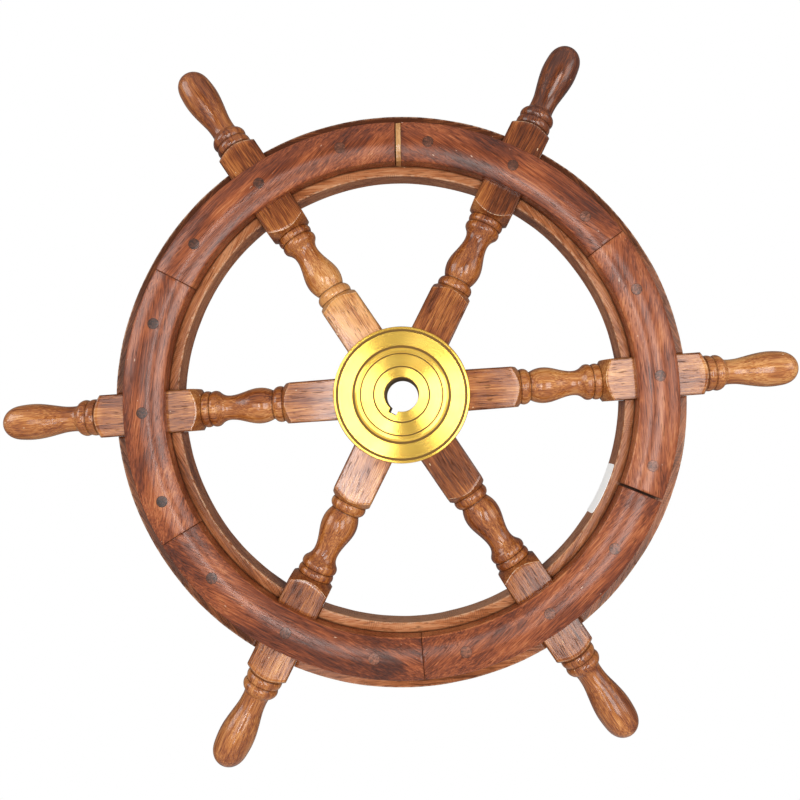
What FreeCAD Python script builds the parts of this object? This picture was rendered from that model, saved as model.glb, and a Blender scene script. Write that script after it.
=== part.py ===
import FreeCAD, Part

# A six-spoke ship's steering wheel, 24 in across the grips: one-piece turned spokes, a rim
# laid up in three layers of felloes, and a two-piece brass hub with a keyed through bore.
#
# Frame: the origin is the wheel's centre, on the hub axis and half way through the rim's core.
# The hub axis is Y and the front faces -Y. +Z is up, and one pair of spokes lies along X.
#
# Every piece is made in a flat working frame, and turned into the object's frame as it is
# saved: there the hub axis is Z with the front at +Z, and spoke 1 lies along +X. In names
# below, a radius or a reach is measured from the hub axis, a level from the wheel's
# mid-plane towards the front, and a girth is a radius about a spoke's own axis.

import math
import os

V = FreeCAD.Vector
ORIGIN = V(0, 0, 0)
X_AXIS = V(1, 0, 0)
Y_AXIS = V(0, 1, 0)
Z_AXIS = V(0, 0, 1)

# ---- driving dimensions, in millimetres and degrees ----
SPOKE_COUNT = 6
TIP_RADIUS = 304.8                  # 24 in over opposite grips
STOCK = 31.75                       # 1 1/4 in square spoke stock

CORE_INNER_RADIUS = 168.7
CORE_OUTER_RADIUS = 215.9
CORE_THICKNESS = 20.0
FACING_INNER_RADIUS = 176.2
FACING_OUTER_RADIUS = 206.8
FACING_THICKNESS = 15.9             # at the crown of its domed face
FACING_EDGE_THICKNESS = 11.5
EDGE_ROUND = 1.0                    # broken edges of the felloes
STOCK_ROUND = 0.8                   # broken edges of the square spoke blocks

HUB_RADIUS = 50.8                   # 4 in hub
HUB_FRONT_LEVEL = 25.4
HUB_BACK_LEVEL = -38.1
BORE_RADIUS = 12.7                  # for a 1 in shaft
BORE_CHAMFER = 0.5
SLEEVE_RADIUS = 19.05
BOSS_RADIUS = 25.4
BACK_FLANGE_THICKNESS = 6.35
KEYWAY_WIDTH = 6.35
KEYWAY_DEPTH = 3.2
KEYWAY_ANGLE = 240.0                # towards spoke 5

PLUG_RADIUS = 4.0
PLUG_CIRCLE_RADIUS = 191.1
PLUG_SPREAD = 20.0                  # between neighbours of the three plugs in a felloe
PLUG_FLOOR = 20.2                   # level of a plug's inner end
WOOD_SCREW_RADIUS = 2.05
WOOD_SCREW_HEAD_RADIUS = 3.8
WOOD_SCREW_HEAD_HEIGHT = 2.3
WOOD_SCREW_POINT_HEIGHT = 3.0
WOOD_SCREW_END = 1.3
HUB_SCREW_CIRCLE_RADIUS = 38.0
HUB_SCREW_RADIUS = 2.4
HUB_SCREW_HEAD_RADIUS = 4.6
HUB_SCREW_HEAD_HEIGHT = 2.6
HUB_SCREW_END = 20.4
SLOT_WIDTH = 1.0
SLOT_DEPTH = 1.0

FIT_GAP = 0.1                       # round the screws, plugs and sleeve
MITRE_GAP = 0.1                     # between the spokes' mitred inner ends
END_GAP = 0.3                       # between a core felloe and the spoke it butts against
WIDE_END_GAP = 1.2                  # where such a butt joint has shrunk open
JOINT_GAP = 0.2                     # between two facing felloes
OPEN_JOINT_GAP = 1.1                # where such a joint has shrunk open
SHIM_THICKNESS = 3.6
SHIM_GAP = 0.8                      # left open beside the shim
SHIM_SETBACK = 1.0                  # of its outer end from the rim's edge

# The front joints were cut by eye: how far each lies past the middle of its bay.
FRONT_DRIFT = [2.4, -3.3, -1.1, -1.8, 0.6, 3.8]
BACK_DRIFT = [0.0] * SPOKE_COUNT
SHIM_JOINT = 1
OPEN_JOINT = 5
WIDE_START = 2                      # core felloes whose start or end stands off its spoke
WIDE_END = 5

LABEL_ANGLE = 330.9
LABEL_SWEEP = 13.8
LABEL_HEIGHT = 17.6
LABEL_THICKNESS = 0.25

# ---- dimensions of one turned spoke ----
HUB_BLOCK_END = 88.3                # reach at the middle of each square block's faces
RIM_BLOCK_START = 153.8
RIM_BLOCK_END = 230.4
BLOCK_TAPER = 0.55                  # each face of the hub block comes in this much
SHOULDER_SAG = 5.2                  # from the middle of a face's end back to its corners
SHOULDER_FOOT = 2.0                 # from there on to the foot of the shoulder
SHOULDER_GIRTH = 13.0
QUIRK_GIRTH = 11.1
BEAD_GIRTH = 13.8
NECK_GIRTH = 9.4
GRIP_NECK_GIRTH = 9.6
GRIP_GIRTH = 13.7

# ---- derived ----
PITCH = 360.0 / SPOKE_COUNT
HALF_STOCK = STOCK / 2
HALF_CORE = CORE_THICKNESS / 2
CROWN_LEVEL = HALF_CORE + FACING_THICKNESS
EDGE_LEVEL = HALF_CORE + FACING_EDGE_THICKNESS
BACK_FLANGE_LEVEL = -HALF_STOCK - BACK_FLANGE_THICKNESS
BEYOND = 400.0                      # further than any piece reaches


# ---- helpers ----
def outline(start, *steps):
    """A closed wire. A step is a point for a line, (via, end) for an arc, a list for a curve."""
    edges = []
    here = V(*start)
    for step in steps:
        if isinstance(step, list):
            end = V(*step[-1])
            curve = Part.BSplineCurve()
            curve.interpolate([here] + [V(*point) for point in step])
            edges.append(curve.toShape())
        elif isinstance(step[0], tuple):
            end = V(*step[1])
            edges.append(Part.Arc(here, V(*step[0]), end).toShape())
        else:
            end = V(*step)
            edges.append(Part.makeLine(here, end))
        here = end
    edges.append(Part.makeLine(here, V(*start)))
    return Part.Wire(edges)


def wheel_turned(wire):
    """The solid turned from an outline of (radius, level) about the hub axis."""
    solid = Part.Face(wire).revolve(ORIGIN, Y_AXIS, 360)
    solid.rotate(ORIGIN, X_AXIS, 90)
    return solid


def spun(shape, angle):
    """A copy moved round the wheel."""
    copy = shape.copy()
    copy.rotate(ORIGIN, Z_AXIS, angle)
    return copy


def turned_over(shape):
    """A copy on the back of the wheel, at the same place round it once spun to its angle."""
    return shape.mirror(ORIGIN, Z_AXIS)


def standing(shape, reach):
    """A copy moved out from the hub axis."""
    copy = shape.copy()
    copy.translate(V(reach, 0, 0))
    return copy


def disc(radius, low, high):
    """A cylinder on the hub axis between two levels."""
    return Part.makeCylinder(radius, high - low, V(0, 0, low), Z_AXIS)


def cone(low_radius, high_radius, low, high):
    """A cone on the hub axis between two levels."""
    return Part.makeCone(low_radius, high_radius, high - low, V(0, 0, low), Z_AXIS)


def slab(start, end, width, low, high):
    """A box along spoke 1 between two reaches, of a width across it, between two levels."""
    return Part.makeBox(end - start, width, high - low, V(start, -width / 2, low))


def bay(start, end, start_gap, end_gap):
    """The part of the wheel between two radial lines, each moved inwards by its gap."""
    first = V(math.cos(math.radians(start)), math.sin(math.radians(start)), 0)
    last = V(math.cos(math.radians(end)), math.sin(math.radians(end)), 0)
    corner = (last * start_gap + first * end_gap) / math.sin(math.radians(end - start))
    corner.z = -BEYOND / 2
    wire = Part.makePolygon([corner, corner + first * BEYOND, corner + last * BEYOND, corner])
    return Part.Face(wire).extrude(V(0, 0, BEYOND))


def circles_at(shape, level):
    """The circular edges of a turned shape that lie at a level."""
    return [edge for edge in shape.Edges
            if abs(edge.BoundBox.ZMin - level) < 0.01 and abs(edge.BoundBox.ZMax - level) < 0.01]


def save(name, *shapes):
    """Write one node, its solids turned into the object's frame."""
    solids = []
    for shape in shapes:
        copy = shape.copy()
        copy.rotate(ORIGIN, X_AXIS, 90)
        solids.extend(copy.Solids)
    node = solids[0] if len(solids) == 1 else Part.makeCompound(solids)
    node.exportStep("parts/%s.step" % name)
    print("%-18s %2d solids, valid %s, %10.1f mm3" % (name, len(solids), node.isValid(), node.Volume))


# ---- spokes ----
def lathe_outline():
    """Half the outline of a whole spoke on the lathe, as (reach, girth), hub end first."""
    clear = STOCK
    hub_corner = HUB_BLOCK_END - SHOULDER_SAG
    inner_corner = RIM_BLOCK_START + SHOULDER_SAG
    outer_corner = RIM_BLOCK_END - SHOULDER_SAG
    hub_half = HALF_STOCK - BLOCK_TAPER
    diagonal = math.sqrt(2)
    return outline(
        (0, 0), (0, clear), (hub_corner, clear), (hub_corner, hub_half * diagonal),
        ((HUB_BLOCK_END, hub_half), (HUB_BLOCK_END + SHOULDER_FOOT, SHOULDER_GIRTH)),
        # a bead, a quirk, the vase and its neck
        ((93.6, BEAD_GIRTH), (97.4, 11.8)), (98.0, QUIRK_GIRTH), (98.6, QUIRK_GIRTH),
        [(101, 12.2), (105, 13.4), (110, 13.75), (115, 13.05), (121, 11.35),
         (126, 10.05), (131.5, NECK_GIRTH), (135.5, 10.05), (138.3, 11.7),
         (140, 13.1), (142.4, BEAD_GIRTH), (144.6, 13.4), (145.8, 12.6)],
        ((148.9, BEAD_GIRTH + 0.1), (RIM_BLOCK_START - SHOULDER_FOOT, SHOULDER_GIRTH)),
        # the square block that the rim holds
        ((RIM_BLOCK_START, HALF_STOCK), (inner_corner, HALF_STOCK * diagonal)),
        (inner_corner, clear), (outer_corner, clear), (outer_corner, HALF_STOCK * diagonal),
        ((RIM_BLOCK_END, HALF_STOCK), (RIM_BLOCK_END + SHOULDER_FOOT, SHOULDER_GIRTH)),
        # two beads and the hand grip
        ((235.6, BEAD_GIRTH + 0.1), (239.0, 12.6)),
        [(240.4, 13.4), (242.0, BEAD_GIRTH), (244.2, 13.3), (246.0, 12.1), (247.6, 10.4),
         (249.6, 9.75), (253.5, GRIP_NECK_GIRTH), (258, 9.9), (264, 10.95), (271, 12.35),
         (278, 13.4), (284, GRIP_GIRTH), (290, 13.35), (296, 12.3), (300.6, 9.8),
         (303.6, 6.0), (TIP_RADIUS, 0)])


def square_length(start, end, start_half, end_half):
    """Square stock along spoke 1 that tapers evenly and has broken long edges."""
    bar = Part.makeWedge(-start_half, start, -start_half, -end_half, -end_half,
                         start_half, end, start_half, end_half, end_half)
    bar.rotate(ORIGIN, Z_AXIS, -90)
    long_edges = [edge for edge in bar.Edges if edge.Length > end - start - 1]
    return bar.makeFillet(STOCK_ROUND, long_edges)


def spoke():
    """Spoke 1: square stock, turned, with a mitred inner end round the hub's sleeve."""
    change = (HUB_BLOCK_END + RIM_BLOCK_START) / 2
    narrow = HALF_STOCK - BLOCK_TAPER * change / HUB_BLOCK_END
    hub_length = square_length(0, change, HALF_STOCK, narrow)
    rim_length = square_length(change, TIP_RADIUS + 1, HALF_STOCK, HALF_STOCK)
    solid = Part.Face(lathe_outline()).revolve(ORIGIN, X_AXIS, 360)
    solid = solid.common(hub_length.fuse(rim_length))
    solid = solid.common(bay(-PITCH / 2, PITCH / 2, MITRE_GAP / 2, MITRE_GAP / 2))
    solid = solid.cut(disc(SLEEVE_RADIUS + FIT_GAP, -STOCK, STOCK))
    bolt_hole = disc(HUB_SCREW_RADIUS + FIT_GAP, -STOCK, STOCK)
    solid = solid.cut(standing(bolt_hole, HUB_SCREW_CIRCLE_RADIUS))
    for hole in (facing_hole(), turned_over(facing_hole())):
        solid = solid.cut(standing(hole, PLUG_CIRCLE_RADIUS))
    return solid.removeSplitter()


# ---- rim ----
def core_ring():
    """The whole ring that the core felloes are cut from."""
    ring = disc(CORE_OUTER_RADIUS, -HALF_CORE, HALF_CORE)
    ring = ring.cut(disc(CORE_INNER_RADIUS, -HALF_CORE, HALF_CORE))
    return ring.makeFillet(EDGE_ROUND, circles_at(ring, HALF_CORE) + circles_at(ring, -HALF_CORE))


def facing_ring():
    """The whole domed ring that the front facing felloes are cut from."""
    middle = (FACING_INNER_RADIUS + FACING_OUTER_RADIUS) / 2
    ring = wheel_turned(outline(
        (FACING_INNER_RADIUS, HALF_CORE), (FACING_OUTER_RADIUS, HALF_CORE),
        (FACING_OUTER_RADIUS, EDGE_LEVEL),
        ((middle, CROWN_LEVEL), (FACING_INNER_RADIUS, EDGE_LEVEL))))
    return ring.makeFillet(EDGE_ROUND, circles_at(ring, EDGE_LEVEL))


def facing_hole():
    """Plug bore, countersink and pilot hole on the hub axis, from the front to the screw's end."""
    neck = PLUG_FLOOR - FIT_GAP - WOOD_SCREW_HEAD_HEIGHT
    hole = disc(PLUG_RADIUS + FIT_GAP, PLUG_FLOOR - FIT_GAP, CROWN_LEVEL + 1)
    hole = hole.fuse(cone(WOOD_SCREW_RADIUS + FIT_GAP, WOOD_SCREW_HEAD_RADIUS + FIT_GAP,
                          neck, PLUG_FLOOR - FIT_GAP))
    return hole.fuse(disc(WOOD_SCREW_RADIUS + FIT_GAP, WOOD_SCREW_END - FIT_GAP, neck))


def plug_angles(index):
    """Where the three plugs of the facing felloe over a spoke lie."""
    return [index * PITCH + step * PLUG_SPREAD for step in (-1, 0, 1)]


def core_felloe(ring, index):
    """The core felloe that follows a spoke, with the screws' pilot holes in both faces."""
    start = index * PITCH
    start_gap = WIDE_END_GAP if index == WIDE_START else END_GAP
    end_gap = WIDE_END_GAP if index == WIDE_END else END_GAP
    felloe = ring.common(bay(start, start + PITCH, HALF_STOCK + start_gap, HALF_STOCK + end_gap))
    hole = standing(facing_hole(), PLUG_CIRCLE_RADIUS)
    for angle in (start + PLUG_SPREAD, start + PITCH - PLUG_SPREAD):
        felloe = felloe.cut(spun(hole, angle))
        felloe = felloe.cut(spun(turned_over(hole), angle))
    return felloe


def joint_angle(index, drift):
    """Where the joint between a spoke's facing felloe and the next one lies."""
    return (index + 0.5) * PITCH + drift[index]


def facing_felloe(ring, index, drift, start_gap, end_gap):
    """The facing felloe over a spoke: notched for the spoke's block and bored for its plugs."""
    before = joint_angle(index - 1, drift) if index else joint_angle(SPOKE_COUNT - 1, drift) - 360
    felloe = ring.common(bay(before, joint_angle(index, drift), start_gap, end_gap))
    notch = slab(0, BEYOND, STOCK + 2 * FIT_GAP, 0, HALF_STOCK)
    felloe = felloe.cut(spun(notch, index * PITCH))
    hole = standing(facing_hole(), PLUG_CIRCLE_RADIUS)
    for angle in plug_angles(index):
        felloe = felloe.cut(spun(hole, angle))
    return felloe


def front_gap(joint, side):
    """Half gap at a front joint, on the side of the felloe before (0) or after (1) it."""
    if joint == SHIM_JOINT:
        return SHIM_THICKNESS / 2 + side * SHIM_GAP
    if joint == OPEN_JOINT:
        return OPEN_JOINT_GAP / 2
    return JOINT_GAP / 2


def shim(ring):
    """The strip of wood that fills the one front joint cut too short."""
    strip = slab(0, FACING_OUTER_RADIUS - SHIM_SETBACK, SHIM_THICKNESS, 0, CROWN_LEVEL)
    return ring.common(spun(strip, joint_angle(SHIM_JOINT, FRONT_DRIFT)))


def plugs(ring):
    """The wooden plugs over one face's screws, cut off flush with its dome."""
    blank = standing(disc(PLUG_RADIUS, PLUG_FLOOR, CROWN_LEVEL + 1), PLUG_CIRCLE_RADIUS)
    plug = ring.common(blank)
    return [spun(plug, angle) for index in range(SPOKE_COUNT) for angle in plug_angles(index)]


def wood_screws():
    """The countersunk screws under one face's plugs."""
    top = PLUG_FLOOR - 2 * FIT_GAP
    neck = top - WOOD_SCREW_HEAD_HEIGHT
    point = WOOD_SCREW_END + WOOD_SCREW_POINT_HEIGHT
    screw = wheel_turned(outline(
        (0, WOOD_SCREW_END), (WOOD_SCREW_RADIUS, point), (WOOD_SCREW_RADIUS, neck),
        (WOOD_SCREW_HEAD_RADIUS, top), (0, top)))
    screw = screw.cut(slab(-STOCK, STOCK, SLOT_WIDTH, top - SLOT_DEPTH, top))
    screw = standing(screw, PLUG_CIRCLE_RADIUS)
    return [spun(screw, angle) for index in range(SPOKE_COUNT) for angle in plug_angles(index)]


def blank_label():
    """A plain paper label on the rim's inner wall."""
    outer = CORE_INNER_RADIUS - 0.02
    sheet = disc(outer, -LABEL_HEIGHT / 2, LABEL_HEIGHT / 2)
    sheet = sheet.cut(disc(outer - LABEL_THICKNESS, -LABEL_HEIGHT / 2, LABEL_HEIGHT / 2))
    return sheet.common(bay(LABEL_ANGLE - LABEL_SWEEP / 2, LABEL_ANGLE + LABEL_SWEEP / 2, 0, 0))


# ---- hub ----
def hub_front():
    """The front flange, turned with steps and grooves, and the sleeve that carries the bore."""
    face = HUB_FRONT_LEVEL
    solid = wheel_turned(outline(
        (BORE_RADIUS, HUB_BACK_LEVEL + BORE_CHAMFER),
        (BORE_RADIUS + BORE_CHAMFER, HUB_BACK_LEVEL),
        (SLEEVE_RADIUS, HUB_BACK_LEVEL), (SLEEVE_RADIUS, HALF_STOCK),
        (HUB_RADIUS, HALF_STOCK), (HUB_RADIUS, face - 4.4),
        # the lip and the deep groove inside it
        ((50.5, face - 3.7), (49.8, face - 3.4)), (48.9, face - 3.3),
        ((47.9, face - 4.8), (46.9, face - 3.5)),
        # the outer field, the groove and bevel at its step, and the ring on top
        (36.7, face - 3.1), ((35.7, face - 4.4), (34.7, face - 2.8)),
        (33.2, face - 2.0), (30.9, face - 1.6),
        ((30.4, face - 2.4), (29.9, face - 1.5)),
        # the inner field, its groove and the flat round the bore
        (21.2, face - 0.6), ((20.7, face - 1.4), (20.2, face - 0.3)), (19.9, face),
        (BORE_RADIUS + BORE_CHAMFER, face), (BORE_RADIUS, face - BORE_CHAMFER)))
    keyway = slab(0, BORE_RADIUS + KEYWAY_DEPTH, KEYWAY_WIDTH, HUB_BACK_LEVEL, face)
    solid = solid.cut(spun(keyway, KEYWAY_ANGLE))
    tapped = disc(HUB_SCREW_RADIUS + FIT_GAP, 0, HUB_SCREW_END + FIT_GAP)
    for index in range(SPOKE_COUNT):
        solid = solid.cut(spun(standing(tapped, HUB_SCREW_CIRCLE_RADIUS), index * PITCH))
    return solid


def hub_back():
    """The back flange and boss, which slide over the sleeve, countersunk for the hub screws."""
    back = BACK_FLANGE_LEVEL
    inside = SLEEVE_RADIUS + FIT_GAP
    solid = wheel_turned(outline(
        (inside, -HALF_STOCK), (HUB_RADIUS, -HALF_STOCK), (HUB_RADIUS, back + 1.6),
        ((HUB_RADIUS - 0.5, back + 0.5), (HUB_RADIUS - 1.6, back)),
        (47.6, back), ((47.0, back + 0.7), (46.4, back)),
        (BOSS_RADIUS + 4, back), ((BOSS_RADIUS + 1.2, back - 1.2), (BOSS_RADIUS, back - 4)),
        (BOSS_RADIUS, HUB_BACK_LEVEL + 1), (BOSS_RADIUS - 1, HUB_BACK_LEVEL),
        (inside, HUB_BACK_LEVEL)))
    neck = back + HUB_SCREW_HEAD_HEIGHT
    hole = disc(HUB_SCREW_RADIUS + FIT_GAP, neck, 0)
    hole = hole.fuse(cone(HUB_SCREW_HEAD_RADIUS + FIT_GAP, HUB_SCREW_RADIUS + FIT_GAP, back, neck))
    for index in range(SPOKE_COUNT):
        solid = solid.cut(spun(standing(hole, HUB_SCREW_CIRCLE_RADIUS), index * PITCH))
    return solid


def hub_screws():
    """Six machine screws from the back flange, through the spokes, into the front flange."""
    back = BACK_FLANGE_LEVEL
    neck = back + HUB_SCREW_HEAD_HEIGHT
    screw = wheel_turned(outline(
        (0, back), (HUB_SCREW_HEAD_RADIUS, back), (HUB_SCREW_RADIUS, neck),
        (HUB_SCREW_RADIUS, HUB_SCREW_END - 0.8), (HUB_SCREW_RADIUS - 0.6, HUB_SCREW_END),
        (0, HUB_SCREW_END)))
    slot = slab(-STOCK, STOCK, SLOT_WIDTH, back, back + SLOT_DEPTH)
    screws = []
    for index in range(SPOKE_COUNT):
        slotted = screw.cut(spun(slot, 35 * index))
        screws.append(spun(standing(slotted, HUB_SCREW_CIRCLE_RADIUS), index * PITCH))
    return screws


def build():
    os.makedirs("parts", exist_ok=True)
    core = core_ring()
    facing = facing_ring()
    first_spoke = spoke()
    for index in range(SPOKE_COUNT):
        number = index + 1
        save("spoke_%d" % number, spun(first_spoke, index * PITCH))
        save("core_felloe_%d" % number, core_felloe(core, index))
        start_gap = front_gap((index - 1) % SPOKE_COUNT, 1)
        end_gap = front_gap(index, 0)
        front = facing_felloe(facing, index, FRONT_DRIFT, start_gap, end_gap)
        save("front_felloe_%d" % number, front)
        back = facing_felloe(facing, index, BACK_DRIFT, JOINT_GAP / 2, JOINT_GAP / 2)
        save("back_felloe_%d" % number, turned_over(back))
    save("joint_shim", shim(facing))
    save("front_plugs", *plugs(facing))
    save("back_plugs", *[turned_over(plug) for plug in plugs(facing)])
    save("front_rim_screws", *wood_screws())
    save("back_rim_screws", *[turned_over(screw) for screw in wood_screws()])
    save("hub_front", hub_front())
    save("hub_back", hub_back())
    save("hub_screws", *hub_screws())
    save("blank_label", blank_label())


build()
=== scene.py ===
import math

import bmesh
import bpy
import numpy as np
from mathutils import Matrix, Vector, noise


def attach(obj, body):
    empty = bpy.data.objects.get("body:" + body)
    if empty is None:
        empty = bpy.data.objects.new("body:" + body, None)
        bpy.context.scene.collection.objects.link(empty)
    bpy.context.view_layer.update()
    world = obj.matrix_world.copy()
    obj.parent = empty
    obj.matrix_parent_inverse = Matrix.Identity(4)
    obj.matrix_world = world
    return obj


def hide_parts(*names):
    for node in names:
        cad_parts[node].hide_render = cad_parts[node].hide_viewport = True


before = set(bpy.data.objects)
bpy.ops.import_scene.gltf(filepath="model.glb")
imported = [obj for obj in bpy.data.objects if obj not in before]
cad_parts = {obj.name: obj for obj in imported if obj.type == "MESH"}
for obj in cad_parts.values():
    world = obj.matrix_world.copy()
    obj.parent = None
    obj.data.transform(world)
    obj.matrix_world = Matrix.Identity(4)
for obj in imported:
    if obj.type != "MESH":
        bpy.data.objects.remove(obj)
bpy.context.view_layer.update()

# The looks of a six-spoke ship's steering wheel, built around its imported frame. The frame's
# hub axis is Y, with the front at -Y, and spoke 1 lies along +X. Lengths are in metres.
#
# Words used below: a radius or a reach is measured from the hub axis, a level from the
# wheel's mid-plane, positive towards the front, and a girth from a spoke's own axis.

MM = 0.001
SPOKE_COUNT = 6
PITCH = math.tau / SPOKE_COUNT
TOUCH = 0.02 * MM                   # points nearer than this to a surface lie on it


# ---- reading the frame ----
def mesh_points(mesh):
    """The vertices of a mesh as an array."""
    points = np.empty(len(mesh.vertices) * 3, np.float32)
    mesh.vertices.foreach_get("co", points)
    return points.reshape(-1, 3).astype(float)


def node_points(node):
    """The corner points of a CAD node's mesh."""
    return mesh_points(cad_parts[node].data)


def polar(points):
    """The radius, level and angle of points, the angle counted on from their middle's."""
    middle = math.atan2(points[:, 2].mean(), points[:, 0].mean())
    turned = np.arctan2(points[:, 2], points[:, 0]) - middle
    angle = (turned + math.pi) % math.tau - math.pi + middle
    return np.hypot(points[:, 0], points[:, 2]), -points[:, 1], angle


def felloe_ends(radius, angle):
    """A rim piece's first and last angle at its inner wall and at its outer wall."""
    walls = []
    for wall in (radius.min(), radius.max()):
        on_wall = np.abs(radius - wall) < TOUCH
        walls.append((wall, angle[on_wall].min(), angle[on_wall].max()))
    return walls


def end_angle(walls, radius, side):
    """The angle at which a straight-cut end of a rim piece crosses a radius."""
    inner, outer = walls
    share = (1 / radius - 1 / inner[0]) / (1 / outer[0] - 1 / inner[0])
    return inner[side] + (outer[side] - inner[side]) * share


def joint_angles():
    """Where each front felloe ends."""
    angles = []
    for index in range(SPOKE_COUNT):
        radius, _, angle = polar(node_points("front_felloe_%d" % (index + 1)))
        walls = felloe_ends(radius, angle)
        angles.append(end_angle(walls, (radius.min() + radius.max()) / 2, 2))
    return angles


# ---- sizes read from the frame ----
plug_radii = polar(node_points("front_plugs"))[0]
facing_radii = polar(node_points("front_felloe_1"))[0]
HALF_STOCK = node_points("spoke_1")[:, 2].max()
TIP_RADIUS = node_points("spoke_1")[:, 0].max()
FACE_LEVEL = -node_points("hub_front")[:, 1].min()
CORE_HALF = np.abs(node_points("core_felloe_1")[:, 1]).max()
FACING_WALLS = (facing_radii.min(), facing_radii.max())
JOINT_ANGLES = joint_angles()
PLUG_CIRCLE = (plug_radii.min() + plug_radii.max()) / 2
PLUG_RADIUS = (plug_radii.max() - plug_radii.min()) / 2

# ---- sizes of the finish, which the frame leaves out ----
PLUG_SPREAD = math.radians(20)      # between neighbours of the three plugs in a felloe
STOCK_ROUND = 0.8 * MM              # broken long edges of the square blocks
HUB_SHOULDER = 83.2 * MM            # reaches where the square blocks give way to turning
RIM_SHOULDERS = (158.8 * MM, 225.4 * MM)
SHOULDER_FOOT_GIRTH = 13.01 * MM    # a shoulder ends where the turning first gets this thin
FOOT_STEP = 0.2 * MM                # between a shoulder's last ring and the turning's first
TURNED_STEP = 0.5 * MM              # between rings of a turned mesh
BLOCK_STEP = 2.0 * MM               # between rings of a square block
FELLOE_STEP = 2.0 * MM              # between stations along a felloe
SECTION_STEP = 1.0 * MM             # between points round a felloe's section
EDGE_SOFT = 0.3 * MM                # how far worn edges are rounded over
CRISP_ANGLE = math.radians(38)      # a sharper edge than this isn't shaded smooth
SAW_PITCH = 1.7 * MM                # between the ridges that the saw left
SLEEVE_CLEARANCE = 19.2 * MM        # radius at which a spoke's inner end stops
HOLE_CLEARANCE = 0.15 * MM          # round a plug and beside a notch
CLOSE_FIT = 0.1 * MM                # between a middle felloe and its spoke
OPENED_FELLOE = "front_felloe_6"    # the joint at its last end has come open
OPEN_JOINT = 0.8 * MM               # added there to the gap that the frame has
DENT_SIZE = 14 * MM                 # the hollows that use has left in a spoke
DENT_DEPTH = 0.07 * MM
WAVE_SIZE = 45 * MM                 # the slow and quick unevenness of a felloe cut by hand
RIPPLE_SIZE = 12 * MM
HAND_SLACK = 0.5 * MM               # more than a hand-cut wall strays from its drawn place
FACING_SINK = 0.06 * MM             # how far a facing sits low, on average
LABEL_CORNER = 2.2 * MM             # radius of the label's rounded corners
LABEL_LIFT = 0.5 * MM               # how far its first end has come off the wall
LABEL_STRIPS = 12                   # points across its width
GROOVED_DEPTH = 4.85 * MM           # how far below the hub's face its grooves and lip reach
GROOVE_APART = 0.3 * MM             # the least distance between two grooves
SMALLEST_GROOVE = (0.3 * MM, 0.4 * MM)  # half its width, and its depth
BORE_SHADE = (18.3 * MM, 17.8 * MM)     # radii where the bore's painted shade ends and where it is full, past the keyway

# ---- wear, stain and painted light: above zero is worn, pale or a painted highlight; below zero is dirty, dark or painted shade ----
EDGE_WEAR = 1.6 * MM                # how far wear reaches from a felloe's edges
CORNER_DIRT_AND_SHADE = 1.1 * MM              # how far dirt and painted shade reach from the rim's inside corners,
JOINT_SHADE = 2.0 * MM               # how far painted shade reaches from the front ring's joints,
END_SHADE = 0.5 * MM                 # and how far painted shade reaches from a felloe's own ends
GROOVE_SIDE = 1.1 * MM              # how far off the sides of a groove between beads are,
GROOVE_DIRT_AND_SHADE = (0.12 * MM, 0.82 * MM)    # and its depth where dirt and painted shade start and where they are full
SHOULDER_SHADE = -0.3               # painted shade on the sloping shoulder of each square block
TURNED_TONE = 0.06                  # the turned parts took less stain than the square blocks
OUTSIDE_DARKENING = 0.30                # the ledge and wall outside the front felloes are painted darker
LOW_WALL_LIGHT = 0.30                # painted light: the core's inner wall is paler at the bottom of the wheel, as if lit from above
# each spoke at its hub block, at both ends of its rim block and at its tip
TONE_REACHES = (HUB_SHOULDER, *RIM_SHOULDERS, TIP_RADIUS)
# the upper left spoke's hub block is painted much lighter, as a painted sheen
SPOKE_TONES_AND_SHEEN = ((0.04, 0.05, 0.02, 0.12), (-0.04, -0.14, -0.30, -0.42), (0.34, -0.10, -0.18, -0.04),
               (0.04, -0.02, -0.08, 0.03), (0.08, -0.14, 0.05, -0.03), (-0.16, -0.10, -0.05, -0.12))
# each middle felloe's tone; the top and bottom ones are painted paler, as painted light
CORE_TONES_AND_LIGHT = (0.08, 0.16, 0.08, -0.03, 0.24, 0.08)
FRONT_TONES = (0.03, -0.10, -0.02, -0.02, -0.12, -0.04)
BACK_TONES = (0.0, 0.05, -0.04, 0.03, -0.02, 0.02)

# ---- the studio ----
CAMERA_PLACE = Vector((0.0075, -0.5723, -0.0165))
CAMERA_TURN = (4.126, -3.741, 0.321)    # roll, pitch and yaw in degrees
CAMERA_LENS = 33.46                     # mm, before a sensor 36 mm wide
CAMERA_SHIFT = (-0.0175, -0.0409)
FRONT_FILL = 0.42                   # how bright the studio lights from in front of the wheel
BACK_FILL = 0.10                    # and from behind it
FILL_RANGE = (-0.2, 0.5)            # from the one to the other, as a direction's Y
# how bright gloss sees it, from straight in front, at 0, to straight behind, at 1
GLEAM = ((0.02, 0.14), (0.10, 0.92), (0.36, 0.7), (0.55, 0.2))
FLOOR_LEVEL = -1.15
FLOOR_RADIUS = 1.0


# ---- mesh helpers ----
def add_piece(name, vertices, faces, material, replaced):
    """A mesh piece that stands for a CAD node."""
    mesh = bpy.data.meshes.new(name)
    mesh.from_pydata([tuple(v) for v in vertices], [], faces)
    mesh.materials.append(material)
    piece = bpy.data.objects.new(name, mesh)
    bpy.context.scene.collection.objects.link(piece)
    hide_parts(replaced)
    return piece


def finish_piece(piece):
    """Smooth shading with crisp corners, and a place on the wheel's one body."""
    piece.data.shade_smooth()
    piece.data.set_sharp_from_angle(angle=CRISP_ANGLE)
    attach(piece, "root")


def set_vectors(piece, name, values):
    """A vector for each vertex, for the materials to read."""
    layer = piece.data.attributes.new(name, "FLOAT_VECTOR", "POINT")
    layer.data.foreach_set("vector", np.asarray(values, np.float32).ravel())


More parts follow.
